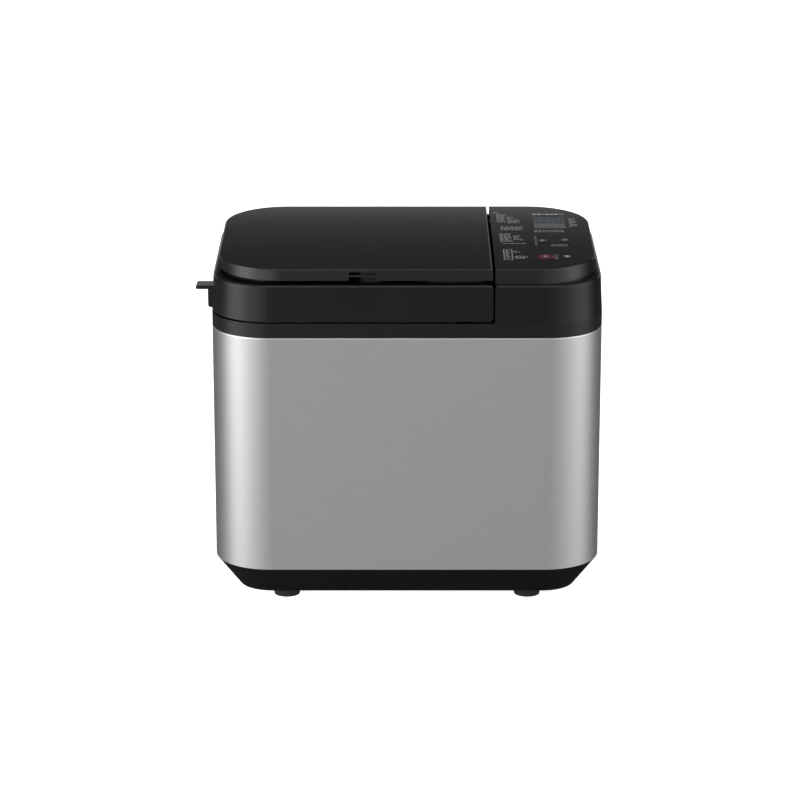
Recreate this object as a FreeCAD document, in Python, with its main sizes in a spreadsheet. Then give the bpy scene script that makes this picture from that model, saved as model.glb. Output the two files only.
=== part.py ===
"""A bread machine with a steel-wrapped body, a hinged lid with two ingredient
dispensers under a second cover, and a control panel on the right of the top.

Millimetres. X is to the user's right, Y is to the rear and Z is up. The origin is on
the table, in the middle of the machine's bounding box. The table SIZES holds the
driving dimensions; every other size is worked out from them.
"""
import math
import os

import FreeCAD
import Part
import Sketcher
from FreeCAD import Placement, Rotation, Vector

SIZES = [
    # alias, millimetres, what it is
    ("body_width", 390.4, "outside width of the body"),
    ("body_depth", 251, "outside depth of the body"),
    ("body_x", 8, "middle of the body; the grip on the left moves it off the origin"),
    ("corner", 58, "radius of the body's upright corners"),
    ("wall", 3, "thickness of the moulded walls"),
    ("sheet", 1.2, "thickness of the sheet metal"),
    ("foot_height", 11.5, "from the table to the base"),
    ("foot_radius", 15, "radius of a foot where it meets the base"),
    ("foot_x", 123, "from the body's middle to a foot"),
    ("foot_y", 75.5, "from the body's middle to a foot"),
    ("base_inset", 24, "how far the base's sides lean in"),
    ("steel_bottom", 42.5, "lower edge of the steel wrap"),
    ("steel_top", 284.5, "upper edge of the steel wrap"),
    ("seam", 299.5, "middle of the gap between the lid and the body"),
    ("gap", 2, "width of the gaps round the lid"),
    ("lid_edge", 92.4, "right side of the lid"),
    ("shoulder", 336.5, "height of the shoulder at the front"),
    ("top_rise", 11.5, "how much the top rises from front to rear"),
    ("shoulder_lean", 0.05, "how much the sides lean in above the seam, per millimetre"),
    ("shoulder_round", 3.6, "rounding of the shoulder's outer edge"),
    ("cap_height", 15.2, "from the shoulder to the top face"),
    ("cap_inset", 7.2, "how far the top face stands back from the body's sides"),
    ("cap_foot", 5.8, "how far the foot of the cap's sloping sides stands back"),
    ("cap_corner", 12, "how much larger the cap's corners are than the body's"),
    ("rim_gap", 3.8, "open gap under the cover's rim"),
    ("deck", 292, "upper face of the deck round the oven"),
    ("lid_deck", 326, "upper face of the deck under the cover"),
    ("hinge_y", 112, "lid hinge axis"),
    ("hinge_z", 320, "lid hinge axis"),
    ("hinge_x", 90, "from the lid's middle to a hinge ear"),
    ("lid_x", -47, "middle of the lid, the oven and the pan"),
    ("oven_y", -4, "middle of the oven and the pan"),
    ("oven_length", 216, "oven inside, along X"),
    ("oven_width", 182, "oven inside, along Y"),
    ("oven_corner", 30, "radius of the oven's corners"),
    ("oven_floor", 54, "underside of the oven's floor"),
    ("chassis", 38, "underside of the chassis plate"),
    ("pan_bottom", 72, "underside of the pan"),
    ("pan_height", 128, "height of the pan"),
    ("pan_length", 186, "pan at the rim, along X"),
    ("pan_width", 132, "pan at the rim, along Y"),
    ("pan_taper", 7, "how much narrower each side is at the bottom"),
    ("pan_wall", 1.6, "thickness of the pan"),
    ("pivot_z", 192, "height of the pan handle's pivots"),
    ("handle_reach", 77, "from the pivots to the handle's bar"),
    ("handle_rod", 2.5, "radius of the handle's rod"),
    ("shaft_radius", 4, "radius of the blade's shaft"),
    ("drive_radius", 5, "radius of the drive shaft"),
    ("pulley_z", 19, "underside of the pulleys"),
    ("pulley_width", 12, "width of the pulleys"),
    ("large_pulley", 45, "belt radius of the drive pulley"),
    ("small_pulley", 9, "belt radius of the motor pulley"),
    ("motor_x", 145, "motor axis"),
    ("raisin_x", -90, "middle of the fruit dispenser"),
    ("raisin_length", 100, "fruit dispenser along X"),
    ("raisin_width", 70, "fruit dispenser along Y"),
    ("yeast_x", 5, "middle of the yeast dispenser"),
    ("yeast_length", 50, "yeast dispenser along X"),
    ("yeast_width", 56, "yeast dispenser along Y"),
    ("box_y", 40, "middle of both dispensers"),
    ("flap_hinge_y", 77, "hinge axis of both flaps"),
    ("flap_hinge_z", 295.2, "hinge axis of both flaps"),
    ("cover_hinge_y", 112, "cover hinge axis, along the slope"),
    ("cover_hinge_z", 8.4, "cover hinge axis, above the shoulder"),
    ("cover_hinge_x", 70, "from the lid's middle to a cover hinge"),
    ("grip_y", -60, "middle of the grip on the lid's left side"),
    ("grip_length", 19, "length of the grip"),
    ("key_radius", 5.2, "radius of a panel key"),
    ("gland_x", 118, "middle of the cord's inlet"),
    ("gland_z", 66, "middle of the cord's inlet"),
]

doc = FreeCAD.newDocument("bread_machine")
sheet = doc.addObject("Spreadsheet::Sheet", "Sizes")
pieces = {}


class Size:
    """A length that carries its number and the spreadsheet expression behind it."""

    def __init__(self, value, text=None):
        self.value = float(value)
        self.text = text or repr(float(value))

    def __add__(self, other):
        other = size(other)
        return Size(self.value + other.value, f"({self.text} + {other.text})")

    def __sub__(self, other):
        other = size(other)
        return Size(self.value - other.value, f"({self.text} - {other.text})")

    def __mul__(self, other):
        other = size(other)
        return Size(self.value * other.value, f"({self.text} * {other.text})")

    def __truediv__(self, other):
        other = size(other)
        return Size(self.value / other.value, f"({self.text} / {other.text})")

    def __radd__(self, other):
        return size(other) + self

    def __rsub__(self, other):
        return size(other) - self

    def __rmul__(self, other):
        return size(other) * self

    def __neg__(self):
        return 0 - self


def size(value):
    """The value as a Size."""
    return value if isinstance(value, Size) else Size(value)


class Table:
    """The driving dimensions, written to the sheet and read back as Sizes."""

    def __init__(self, rows):
        for row, (alias, value, note) in enumerate(rows, 1):
            sheet.set(f"A{row}", note)
            sheet.set(f"B{row}", str(value))
            sheet.setAlias(f"B{row}", alias)
            setattr(self, alias, Size(value, f"Sizes.{alias}"))
        doc.recompute()


S = Table(SIZES)

# Sizes that many pieces share
half_width = S.body_width / 2
half_depth = S.body_depth / 2
body_left = S.body_x - half_width
body_right = S.body_x + half_width
column_left = S.lid_edge + S.gap
lid_bottom = S.seam + S.gap / 2
collar_top = S.seam - S.gap / 2
tilt = math.degrees(math.atan(S.top_rise.value / S.body_depth.value))
slope_z = S.shoulder + S.top_rise / 2
cap_half = half_depth - S.cap_inset
oven_top = S.deck + S.sheet
floor_top = S.oven_floor + S.sheet
pan_rim = S.pan_bottom + S.pan_height


# ---------------------------------------------------------------- building blocks

def bind(thing, prop, value):
    """Sets a property from the sheet."""
    thing.setExpression(prop, size(value).text)


def place(thing, x=0, y=0, z=0, rotation=None):
    """Puts a piece where the sheet says."""
    if rotation is not None:
        thing.Placement = Placement(Vector(), rotation)
    for axis, value in zip("xyz", (x, y, z)):
        bind(thing, f"Placement.Base.{axis}", value)
    return thing


def keep(label, thing):
    """Marks a finished sub-part."""
    thing.Label = label
    pieces[label] = thing
    return thing


def new_body(label):
    """A body that is a sub-part. It may hold several solids."""
    body = doc.addObject("PartDesign::Body", label + "_body")
    body.AllowCompound = True
    return keep(label, body)


def new_sketch(body, plane="XY_Plane", x=0, y=0, z=0):
    """A sketch on one of the body's own planes. z is along the plane's normal."""
    sketch = body.newObject("Sketcher::SketchObject", "Outline")
    support = next(f for f in body.Origin.OriginFeatures if f.Role == plane)
    sketch.AttachmentSupport = (support, "")
    sketch.MapMode = "FlatFace"
    for axis, value in zip("xyz", (x, y, z)):
        bind(sketch, f"AttachmentOffset.Base.{axis}", value)
    return sketch


def constrain(sketch, *words, value=None):
    """Adds a constraint, and binds it to the sheet if it has a value."""
    if value is None:
        sketch.addConstraint(Sketcher.Constraint(*words))
        return
    value = size(value)
    index = sketch.addConstraint(Sketcher.Constraint(*words, value.value))
    sketch.setExpression(f"Constraints[{index}]", value.text)


def add_outline(sketch, left, right, low, high, radii=(0, 0, 0, 0)):
    """A rectangle from left to right and low to high. radii round its corners, from
    the low left one anticlockwise; 0 leaves a corner sharp."""
    left, right, low, high = (size(v) for v in (left, right, low, high))
    radii = [size(r) for r in radii]
    corners = [(left, low), (right, low), (right, high), (left, high)]
    along = [(1, 0), (0, 1), (-1, 0), (0, -1)]
    first = sketch.GeometryCount
    lines, arcs = [], {}
    for i in range(4):
        a, b = corners[i], corners[(i + 1) % 4]
        dx, dy = along[i]
        start, end = radii[i].value, radii[(i + 1) % 4].value
        lines.append(sketch.addGeometry(Part.LineSegment(
            Vector(a[0].value + dx * start, a[1].value + dy * start, 0),
            Vector(b[0].value - dx * end, b[1].value - dy * end, 0)), False))
    for i in range(4):
        r = radii[i].value
        if not r:
            continue
        x, y = corners[i][0].value, corners[i][1].value
        centre = Vector(x + (r if i in (0, 3) else -r), y + (r if i in (0, 1) else -r), 0)
        turn = math.pi + i * math.pi / 2
        arcs[i] = sketch.addGeometry(Part.ArcOfCircle(
            Part.Circle(centre, Vector(0, 0, 1), r), turn, turn + math.pi / 2), False)
    for i in range(4):
        before = lines[i - 1]
        if i in arcs:
            constrain(sketch, "Tangent", before, 2, arcs[i], 1)
            constrain(sketch, "Tangent", arcs[i], 2, lines[i], 1)
            constrain(sketch, "Radius", arcs[i], value=radii[i])
        else:
            constrain(sketch, "Coincident", before, 2, lines[i], 1)
        constrain(sketch, "Horizontal" if i % 2 == 0 else "Vertical", lines[i])
    constrain(sketch, "DistanceY", -1, 1, lines[0], 1, value=low)
    constrain(sketch, "DistanceX", -1, 1, lines[1], 1, value=right)
    constrain(sketch, "DistanceY", -1, 1, lines[2], 1, value=high)
    constrain(sketch, "DistanceX", -1, 1, lines[3], 1, value=left)
    return first


def add_block(sketch, x, y, width, depth, radius=0):
    """A rectangle by its middle and its size, with all corners the same."""
    x, y, width, depth = (size(v) for v in (x, y, width, depth))
    add_outline(sketch, x - width / 2, x + width / 2, y - depth / 2, y + depth / 2,
                (radius,) * 4)


def add_body_outline(sketch, inset=0):
    """The body's plan, moved in by inset."""
    add_block(sketch, S.body_x, 0, S.body_width - 2 * size(inset),
              S.body_depth - 2 * size(inset), S.corner - size(inset))


def add_lid_outline(sketch, inset=0, right_inset=0, rounder=0):
    """The lid's plan: the body's left end, cut straight at the lid's right side."""
    inset, r = size(inset), S.corner - size(inset) + rounder
    add_outline(sketch, body_left + inset, S.lid_edge - size(right_inset),
                inset - half_depth, half_depth - inset, (r, 0, 0, r))


def add_column_outline(sketch, inset=0, left_inset=0, rounder=0):
    """The plan of the control column: the body's right end."""
    inset, r = size(inset), S.corner - size(inset) + rounder
    add_outline(sketch, column_left + size(left_inset), body_right - inset,
                inset - half_depth, half_depth - inset, (0, r, r, 0))


def add_circle(sketch, radius, x=0, y=0):
    x, y, radius = size(x), size(y), size(radius)
    circle = sketch.addGeometry(Part.Circle(Vector(x.value, y.value, 0),
                                            Vector(0, 0, 1), radius.value), False)
    constrain(sketch, "Radius", circle, value=radius)
    constrain(sketch, "DistanceX", -1, 1, circle, 3, value=x)
    constrain(sketch, "DistanceY", -1, 1, circle, 3, value=y)


def add_polygon(sketch, points):
    """A closed run of straight lines through the points."""
    points = [(size(x), size(y)) for x, y in points]
    count = len(points)
    lines = []
    for i in range(count):
        a, b = points[i], points[(i + 1) % count]
        lines.append(sketch.addGeometry(Part.LineSegment(
            Vector(a[0].value, a[1].value, 0), Vector(b[0].value, b[1].value, 0)), False))
    for i in range(count):
        constrain(sketch, "Coincident", lines[i], 2, lines[(i + 1) % count], 1)
        constrain(sketch, "DistanceX", -1, 1, lines[i], 1, value=points[i][0])
        constrain(sketch, "DistanceY", -1, 1, lines[i], 1, value=points[i][1])


def pad(body, sketch, length, backwards=False, both_ways=False):
    feature = body.newObject("PartDesign::Pad", "Pad")
    feature.Profile = sketch
    feature.Reversed = backwards
    feature.Midplane = both_ways
    bind(feature, "Length", length)
    doc.recompute()
    return feature


def pocket(body, sketch, length, upwards=False, both_ways=False):
    """Cuts against the sketch's normal, or along it if upwards."""
    before = body.Tip.Shape.Volume
    feature = body.newObject("PartDesign::Pocket", "Pocket")
    feature.Profile = sketch
    feature.Reversed = upwards
    feature.Midplane = both_ways
    bind(feature, "Length", length)
    doc.recompute()
    if not feature.Shape.Volume < before - 1e-6:
        raise ValueError(f"a pocket in {body.Label} cuts nothing")
    return feature


def loft(body, low, high, cut=False):
    kind = "PartDesign::SubtractiveLoft" if cut else "PartDesign::AdditiveLoft"
    feature = body.newObject(kind, "Loft")
    feature.Profile = low
    feature.Sections = [high]
    feature.Ruled = True
    doc.recompute()
    return feature


def revolve(body, sketch):
    """Turns a profile drawn on the XZ plane round the body's Z axis."""
    feature = body.newObject("PartDesign::Revolution", "Revolution")
    feature.Profile = sketch
    feature.ReferenceAxis = (next(
        f for f in body.Origin.OriginFeatures if f.Role == "Z_Axis"), [""])
    feature.Angle = 360
    doc.recompute()
    return feature


def round_edges(body, radius, wanted):
    """Fillets the edges for which wanted(edge) is true."""
    tip = body.Tip
    names = [f"Edge{i}" for i, edge in enumerate(tip.Shape.Edges, 1) if wanted(edge)]
    if not names:
        raise ValueError(f"{body.Label} has no such edge to round")
    feature = body.newObject("PartDesign::Fillet", "Fillet")
    feature.Base = (tip, names)
    feature.Radius = size(radius).value
    doc.recompute()
    if feature.Shape.isNull() or "Invalid" in feature.State:
        raise ValueError(f"a fillet in {body.Label} fails")
    return feature


def repeat(body, feature, axis, length, count):
    """Repeats a feature in a line."""
    pattern = body.newObject("PartDesign::LinearPattern", "Row")
    pattern.Originals = [feature]
    pattern.Direction = (next(
        f for f in body.Origin.OriginFeatures if f.Role == axis), [""])
    bind(pattern, "Length", length)
    pattern.Occurrences = count
    body.Tip = pattern
    doc.recompute()
    return pattern


def repeat_round(body, feature, count):
    """Repeats a feature round the body's Z axis."""
    pattern = body.newObject("PartDesign::PolarPattern", "Ring")
    pattern.Originals = [feature]
    pattern.Axis = (next(
        f for f in body.Origin.OriginFeatures if f.Role == "Z_Axis"), [""])
    pattern.Angle = 360
    pattern.Occurrences = count
    body.Tip = pattern
    doc.recompute()
    return pattern


def on_slope(edge, height=0.0):
    """True for an edge that lies in the shoulder's sloping plane, or height above."""
    return all(
        abs(v.Z - slope_z.value - height - v.Y * S.top_rise.value / S.body_depth.value) < 0.05
        for v in edge.Vertexes)


def cut_above_shoulder(body):
    """Cuts the body off along the shoulder's sloping plane."""
    sketch = new_sketch(body, "YZ_Plane")
    reach = S.body_depth
    add_polygon(sketch, [(-reach, slope_z - S.top_rise), (reach, slope_z + S.top_rise),
                         (reach, slope_z + 100), (-reach, slope_z + 100)])
    pocket(body, sketch, 3 * S.body_width, both_ways=True)


def add_box(name, x, y, z, length, width, height):
    """A box by its low left front corner."""
    box = doc.addObject("Part::Box", name)
    for prop, value in zip(("Length", "Width", "Height"), (length, width, height)):
        bind(box, prop, value)
    return place(box, x, y, z)


def add_rod(name, x, y, z, radius, length, along="z"):
    """A cylinder that starts at x, y, z and runs along an axis."""
    rod = doc.addObject("Part::Cylinder", name)
    bind(rod, "Radius", radius)
    bind(rod, "Height", length)
    turn = {"z": Rotation(), "x": Rotation(Vector(0, 1, 0), 90),
            "y": Rotation(Vector(1, 0, 0), -90)}[along]
    return place(rod, x, y, z, turn)


def subtract(name, base, *tools):
    for tool in tools:
        cut = doc.addObject("Part::Cut", name)
        cut.Base, cut.Tool = base, tool
        base = cut
    return base


def join(name, *shapes):
    fuse = doc.addObject("Part::MultiFuse", name)
    fuse.Shapes = list(shapes)
    return fuse


def group(label, members):
    """Separate solids that share one node."""
    compound = doc.addObject("Part::Compound", label)
    compound.Links = members
    return keep(label, compound)


def turned(label, profile, x=0, y=0, z=0):
    """A turned piece. profile is a list of (radius, height) round its own Z axis."""
    body = new_body(label)
    sketch = new_sketch(body, "XZ_Plane")
    add_polygon(sketch, profile)
    revolve(body, sketch)
    return place(body, x, y, z)


def add_path(sketch, points, radii):
    """An open run of lines along the axes, with a rounded corner at each inner point."""
    points = [(size(x), size(y)) for x, y in points]
    flat = [Vector(x.value, y.value, 0) for x, y in points]
    ways = [(b - a).normalize() for a, b in zip(flat, flat[1:])]
    trims = [0] + [size(r).value for r in radii] + [0]
    lines = []
    for i, way in enumerate(ways):
        lines.append(sketch.addGeometry(Part.LineSegment(
            flat[i] + way * trims[i], flat[i + 1] - way * trims[i + 1]), False))
    for i, radius in enumerate(radii):
        a, b = ways[i], ways[i + 1]
        corner, r = flat[i + 1], size(radius).value
        centre = corner - a * r + b * r
        left_turn = a.x * b.y - a.y * b.x > 0
        first, last = (corner - a * r, corner + b * r)[::1 if left_turn else -1]
        start = math.atan2(first.y - centre.y, first.x - centre.x)
        arc = sketch.addGeometry(Part.ArcOfCircle(
            Part.Circle(centre, Vector(0, 0, 1), r), start, start + math.pi / 2), False)
        constrain(sketch, "Tangent", lines[i], 2, arc, 1 if left_turn else 2)
        constrain(sketch, "Tangent", arc, 2 if left_turn else 1, lines[i + 1], 1)
        constrain(sketch, "Radius", arc, value=radius)
    for i, way in enumerate(ways):
        x, y = points[i]
        level = abs(way.x) > 0.5
        constrain(sketch, "Horizontal" if level else "Vertical", lines[i])
        constrain(sketch, "DistanceY" if level else "DistanceX", -1, 1, lines[i], 1,
                  value=y if level else x)
    for line, end, way, point in ((lines[0], 1, ways[0], points[0]),
                                  (lines[-1], 2, ways[-1], points[-1])):
        level = abs(way.x) > 0.5
        constrain(sketch, "DistanceX" if level else "DistanceY", -1, 1, line, end,
                  value=point[0] if level else point[1])


def sweep(body, profile, path):
    feature = body.newObject("PartDesign::AdditivePipe", "Pipe")
    feature.Profile = profile
    feature.Spine = (path, [""])
    doc.recompute()
    return feature


def tilted(body):
    """Puts a piece drawn level on the shoulder's sloping plane."""
    return place(body, 0, 0, slope_z, Rotation(Vector(1, 0, 0), tilt))


def slab(body, low, high, *outlines):
    """Pads from low to high with whatever the outlines draw."""
    sketch = new_sketch(body, z=low)
    for draw in outlines:
        draw(sketch)
    return pad(body, sketch, size(high) - low)


def hollow(body, low, high, *outlines):
    """Cuts from low to high with whatever the outlines draw."""
    sketch = new_sketch(body, z=high)
    for draw in outlines:
        draw(sketch)
    return pocket(body, sketch, size(high) - low)


def rectangle(left, right, low, high, radius=0):
    return lambda sketch: add_outline(sketch, left, right, low, high, (radius,) * 4)


def block(x, y, width, depth, radius=0):
    return lambda sketch: add_block(sketch, x, y, width, depth, radius)


def circle(radius, x=0, y=0):
    return lambda sketch: add_circle(sketch, radius, x, y)


def body_plan(inset=0):
    return lambda sketch: add_body_outline(sketch, inset)


def lid_plan(inset=0, right_inset=0, rounder=0):
    return lambda sketch: add_lid_outline(sketch, inset, right_inset, rounder)


def column_plan(inset=0, left_inset=0, rounder=0):
    return lambda sketch: add_column_outline(sketch, inset, left_inset, rounder)


# ---------------------------------------------------------------- base and body

chassis_top = S.chassis + S.sheet
base_floor = S.foot_height + S.wall
base_lean = S.base_inset / (S.steel_bottom - S.foot_height)
base_side = S.wall * 1.27
boss_spots = [(S.body_x + 125 * i, 78 * j) for i in (-1, 1) for j in (-1, 1)]
boss_spots += [(S.body_x + 2, 88), (S.body_x + 2, -88)]


def make_base():
    tray = new_body("base_tray")
    low = new_sketch(tray, z=S.foot_height)
    add_body_outline(low, S.base_inset)
    high = new_sketch(tray, z=S.steel_bottom)
    add_body_outline(high)
    loft(tray, low, high)
    low = new_sketch(tray, z=base_floor)
    add_body_outline(low, S.base_inset - base_lean * S.wall + base_side)
    high = new_sketch(tray, z=S.steel_bottom)
    add_body_outline(high, base_side)
    loft(tray, low, high, cut=True)
    slab(tray, base_floor, S.chassis, *[circle(5, x, y) for x, y in boss_spots])
    hollow(tray, base_floor + 4, S.chassis, *[circle(1.5, x, y) for x, y in boss_spots])
    slot = hollow(tray, S.foot_height, base_floor,
                  rectangle(-98, -94.5, 56, 92, 1.7), rectangle(-98, -94.5, -92, -56, 1.7))
    repeat(tray, slot, "X_Axis", 90, 10)

    r = S.foot_radius
    feet = [doc.addObject("Part::Cone", "Foot") for _ in range(4)]
    for i, foot in enumerate(feet):
        bind(foot, "Radius1", r - 2)
        bind(foot, "Radius2", r)
        bind(foot, "Height", S.foot_height)
        place(foot, S.body_x + S.foot_x * (-1, 1)[i % 2], S.foot_y * (-1, 1)[i // 2])
    group("feet", feet)

    plate = new_body("chassis_plate")
    slab(plate, S.chassis, chassis_top, body_plan(8), circle(12.2, S.lid_x, S.oven_y),
         circle(10, S.motor_x, S.oven_y), *[circle(1.5, x, y) for x, y in boss_spots])

    heads = []
    for x, y in boss_spots:
        heads.append(add_rod("ScrewShank", x, y, base_floor + 8, 1.5, chassis_top - base_floor - 8))
        heads.append(add_rod("ScrewHead", x, y, chassis_top, 3, 2))
    screws = join("Screws", *heads)
    keep("chassis_screws", screws)


panel_left = body_left + S.corner + 8
panel_right = body_right - S.corner - 8
lap_left = panel_left - 8
lap_right = panel_right + 8
steel_inside = half_depth - S.sheet
rear_face = half_depth - 0.8


def make_shell():
    shell = new_body("body_shell")
    slab(shell, S.steel_bottom, S.steel_top, body_plan(), body_plan(S.sheet))
    slab(shell, S.steel_top - 3, S.steel_top, body_plan(), body_plan(3))
    hollow(shell, S.steel_bottom - 1, S.steel_top + 1,
           rectangle(panel_left, panel_right, half_depth - 10, half_depth + 10))
    round_edges(shell, 2.2, lambda e: abs(e.BoundBox.ZMin - S.steel_top.value) < 1e-3
                and e.BoundBox.ZLength < 1e-3 and on_outline(e))

    rear = new_body("rear_panel")
    slab(rear, S.steel_bottom, S.steel_top,
         rectangle(panel_left, panel_right, rear_face - S.wall, rear_face))
    slab(rear, S.steel_bottom, S.steel_top - 3,
         rectangle(lap_left, lap_right, steel_inside - 3, steel_inside))
    slot = hollow(rear, 190, 240, rectangle(-97, -93.5, half_depth - 20, half_depth + 5))
    repeat(rear, slot, "X_Axis", 90, 10)
    slot = hollow(rear, 90, 130, rectangle(-97, -93.5, half_depth - 20, half_depth + 5))
    repeat(rear, slot, "X_Axis", 90, 10)
    sketch = new_sketch(rear, "XZ_Plane", z=-half_depth - 5)
    add_circle(sketch, 8, S.gland_x, S.gland_z)
    pocket(rear, sketch, 40, both_ways=True)
    sketch = new_sketch(rear, "XZ_Plane", z=3 - steel_inside)
    for x, z in board_posts:
        add_circle(sketch, 3, x, z)
    pad(rear, sketch, 15)

    gland = turned("cord_gland", [(3.5, 0), (8, 0), (8, 9), (11, 9), (11, 13), (3.5, 13)])
    gland.Placement = Placement(Vector(), Rotation(Vector(1, 0, 0), 90))
    place(gland, S.gland_x, half_depth, S.gland_z)


def on_outline(edge, within=0.05):
    """True for an edge that lies on the body's outer plan, or that far within it."""
    for v in edge.Vertexes:
        x = max(abs(v.X - S.body_x.value) - (half_width.value - S.corner.value), 0)
        y = max(abs(v.Y) - (half_depth.value - S.corner.value), 0)
        if math.hypot(x, y) < S.corner.value - within:
            return False
    return True


def leaning(body, low, high, plan, cut=False):
    """Adds or cuts the walls above the seam, which lean in on the way up."""
    sketches = []
    for z in (size(low), size(high)):
        sketch = new_sketch(body, z=z)
        plan((z - collar_top) * S.shoulder_lean)(sketch)
        sketches.append(sketch)
    loft(body, *sketches, cut=cut)


board_posts = [(x, z) for x in (82, 126) for z in (106, 184)]


# ---------------------------------------------------------------- top of the body

oven_left = S.lid_x - S.oven_length / 2
oven_right = S.lid_x + S.oven_length / 2
oven_front = S.oven_y - S.oven_width / 2
oven_rear = S.oven_y + S.oven_width / 2


def oven_plan(outset=0):
    """The oven's plan, moved out by outset."""
    return block(S.lid_x, S.oven_y, S.oven_length + 2 * size(outset),
                 S.oven_width + 2 * size(outset), S.oven_corner + outset)


def make_housing():
    housing = new_body("upper_housing")
    leaning(housing, collar_top, S.shoulder + 40, column_plan)
    cut_above_shoulder(housing)
    slab(housing, S.steel_top, collar_top, body_plan())
    hollow(housing, S.deck, collar_top, lid_plan(S.wall, -S.gap))
    hollow(housing, S.steel_top, S.deck - S.wall, body_plan(S.wall))
    hollow(housing, S.steel_top, S.shoulder - 4, column_plan(S.wall + 1.5, S.wall))
    hollow(housing, S.shoulder - 5, S.shoulder + 20, column_plan(S.cap_inset + 8, 8))
    hollow(housing, S.steel_top, S.deck + 1, oven_plan(S.sheet))
    round_edges(housing, S.shoulder_round, lambda e: on_slope(e) and on_outline(e, 4)
                and e.Length > 30)
    for side in (-1, 1):
        sketch = new_sketch(housing, "YZ_Plane", z=S.lid_x + S.hinge_x * side)
        add_outline(sketch, S.hinge_y - 9, S.hinge_y + 9, S.deck - 1, S.hinge_z + 9,
                    (0, 0, 8.9, 8.9))
        pad(housing, sketch, 12, both_ways=True)
    # A rib at the rear that closes the gap beside the lid
    slab(housing, collar_top - 1, S.shoulder + S.top_rise + 6,
         rectangle(column_left - 1.5, column_left + 0.2, 113, 120))
    sketch = new_sketch(housing, "YZ_Plane", z=S.lid_x)
    add_circle(sketch, 3, S.hinge_y, S.hinge_z)
    pocket(housing, sketch, 2 * S.hinge_x + 20, both_ways=True)

    group("hinge_pins", [add_rod("HingePin", x, S.hinge_y, S.hinge_z, 3, 20.4, "x")
                         for x in (S.lid_x - S.hinge_x - 6, S.lid_x + S.hinge_x - 14.4)])


key_spots = {"up_key": (145, -16), "down_key": (168, -14),
             "start_key": (146, -74), "stop_key": (167, -74)}
post_spots = [(128, 80), (182, 74), (122, -78), (182, -48)]


def lean_slab(body, low, high, plan, side, inset=0, cut=False):
    """Adds or cuts a layer of the cap, whose outer sides lean in on the way up. plan
    gives the outline for an inset and a second inset at the straight side."""
    sketches = []
    for z in (size(low), size(high)):
        lean = (S.cap_inset - S.cap_foot) * z / S.cap_height
        sketch = new_sketch(body, z=z)
        plan(S.cap_foot + lean + inset, side, S.cap_corner)(sketch)
        sketches.append(sketch)
    loft(body, *sketches, cut=cut)


def make_panel():
    cover = new_body("control_cover")
    lean_slab(cover, 0, S.cap_height, column_plan, 0.2)
    lean_slab(cover, 0, S.cap_height - 2.5, column_plan, 2.7, 2.5, cut=True)
    slab(cover, 5.1, S.cap_height - 2, *[circle(2.5, x, y) for x, y in post_spots])
    hollow(cover, 5, S.cap_height + 1, rectangle(139, 172, 31, 79, 2),
           *[circle(S.key_radius + 0.3, x, y) for x, y in key_spots.values()])
    round_edges(cover, 1.6, lambda e: abs(e.BoundBox.ZMin - S.cap_height.value) < 1e-3
                and e.BoundBox.DiagonalLength > 40 and e.BoundBox.XMax > 172.5)
    tilted(cover)

    window = new_body("display_window")
    slab(window, S.cap_height - 2, S.cap_height - 0.2, rectangle(139, 172, 31, 79, 2))
    tilted(window)

    display = new_body("display_module")
    slab(display, S.cap_height - 6.5, S.cap_height - 2.5, rectangle(136, 175, 28, 82, 1))
    tilted(display)

    board = new_body("control_board")
    slab(board, 3.5, 5.1, rectangle(118, 186, -84, 86, 3))
    tilted(board)

    switches = new_body("key_switches")
    slab(switches, 5.1, 8.6, *[block(x, y, 6, 6) for x, y in key_spots.values()])
    tilted(switches)

    for label, (x, y) in key_spots.items():
        key = new_body(label)
        slab(key, 9.6, S.cap_height - 2.9, circle(S.key_radius + 1.3, x, y))
        slab(key, S.cap_height - 2.9, S.cap_height + 0.6, circle(S.key_radius, x, y))
        round_edges(key, 0.5, lambda e: abs(e.BoundBox.ZMin - S.cap_height.value - 0.6) < 1e-3)
        tilted(key)


# ---------------------------------------------------------------- oven and electrics

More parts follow.
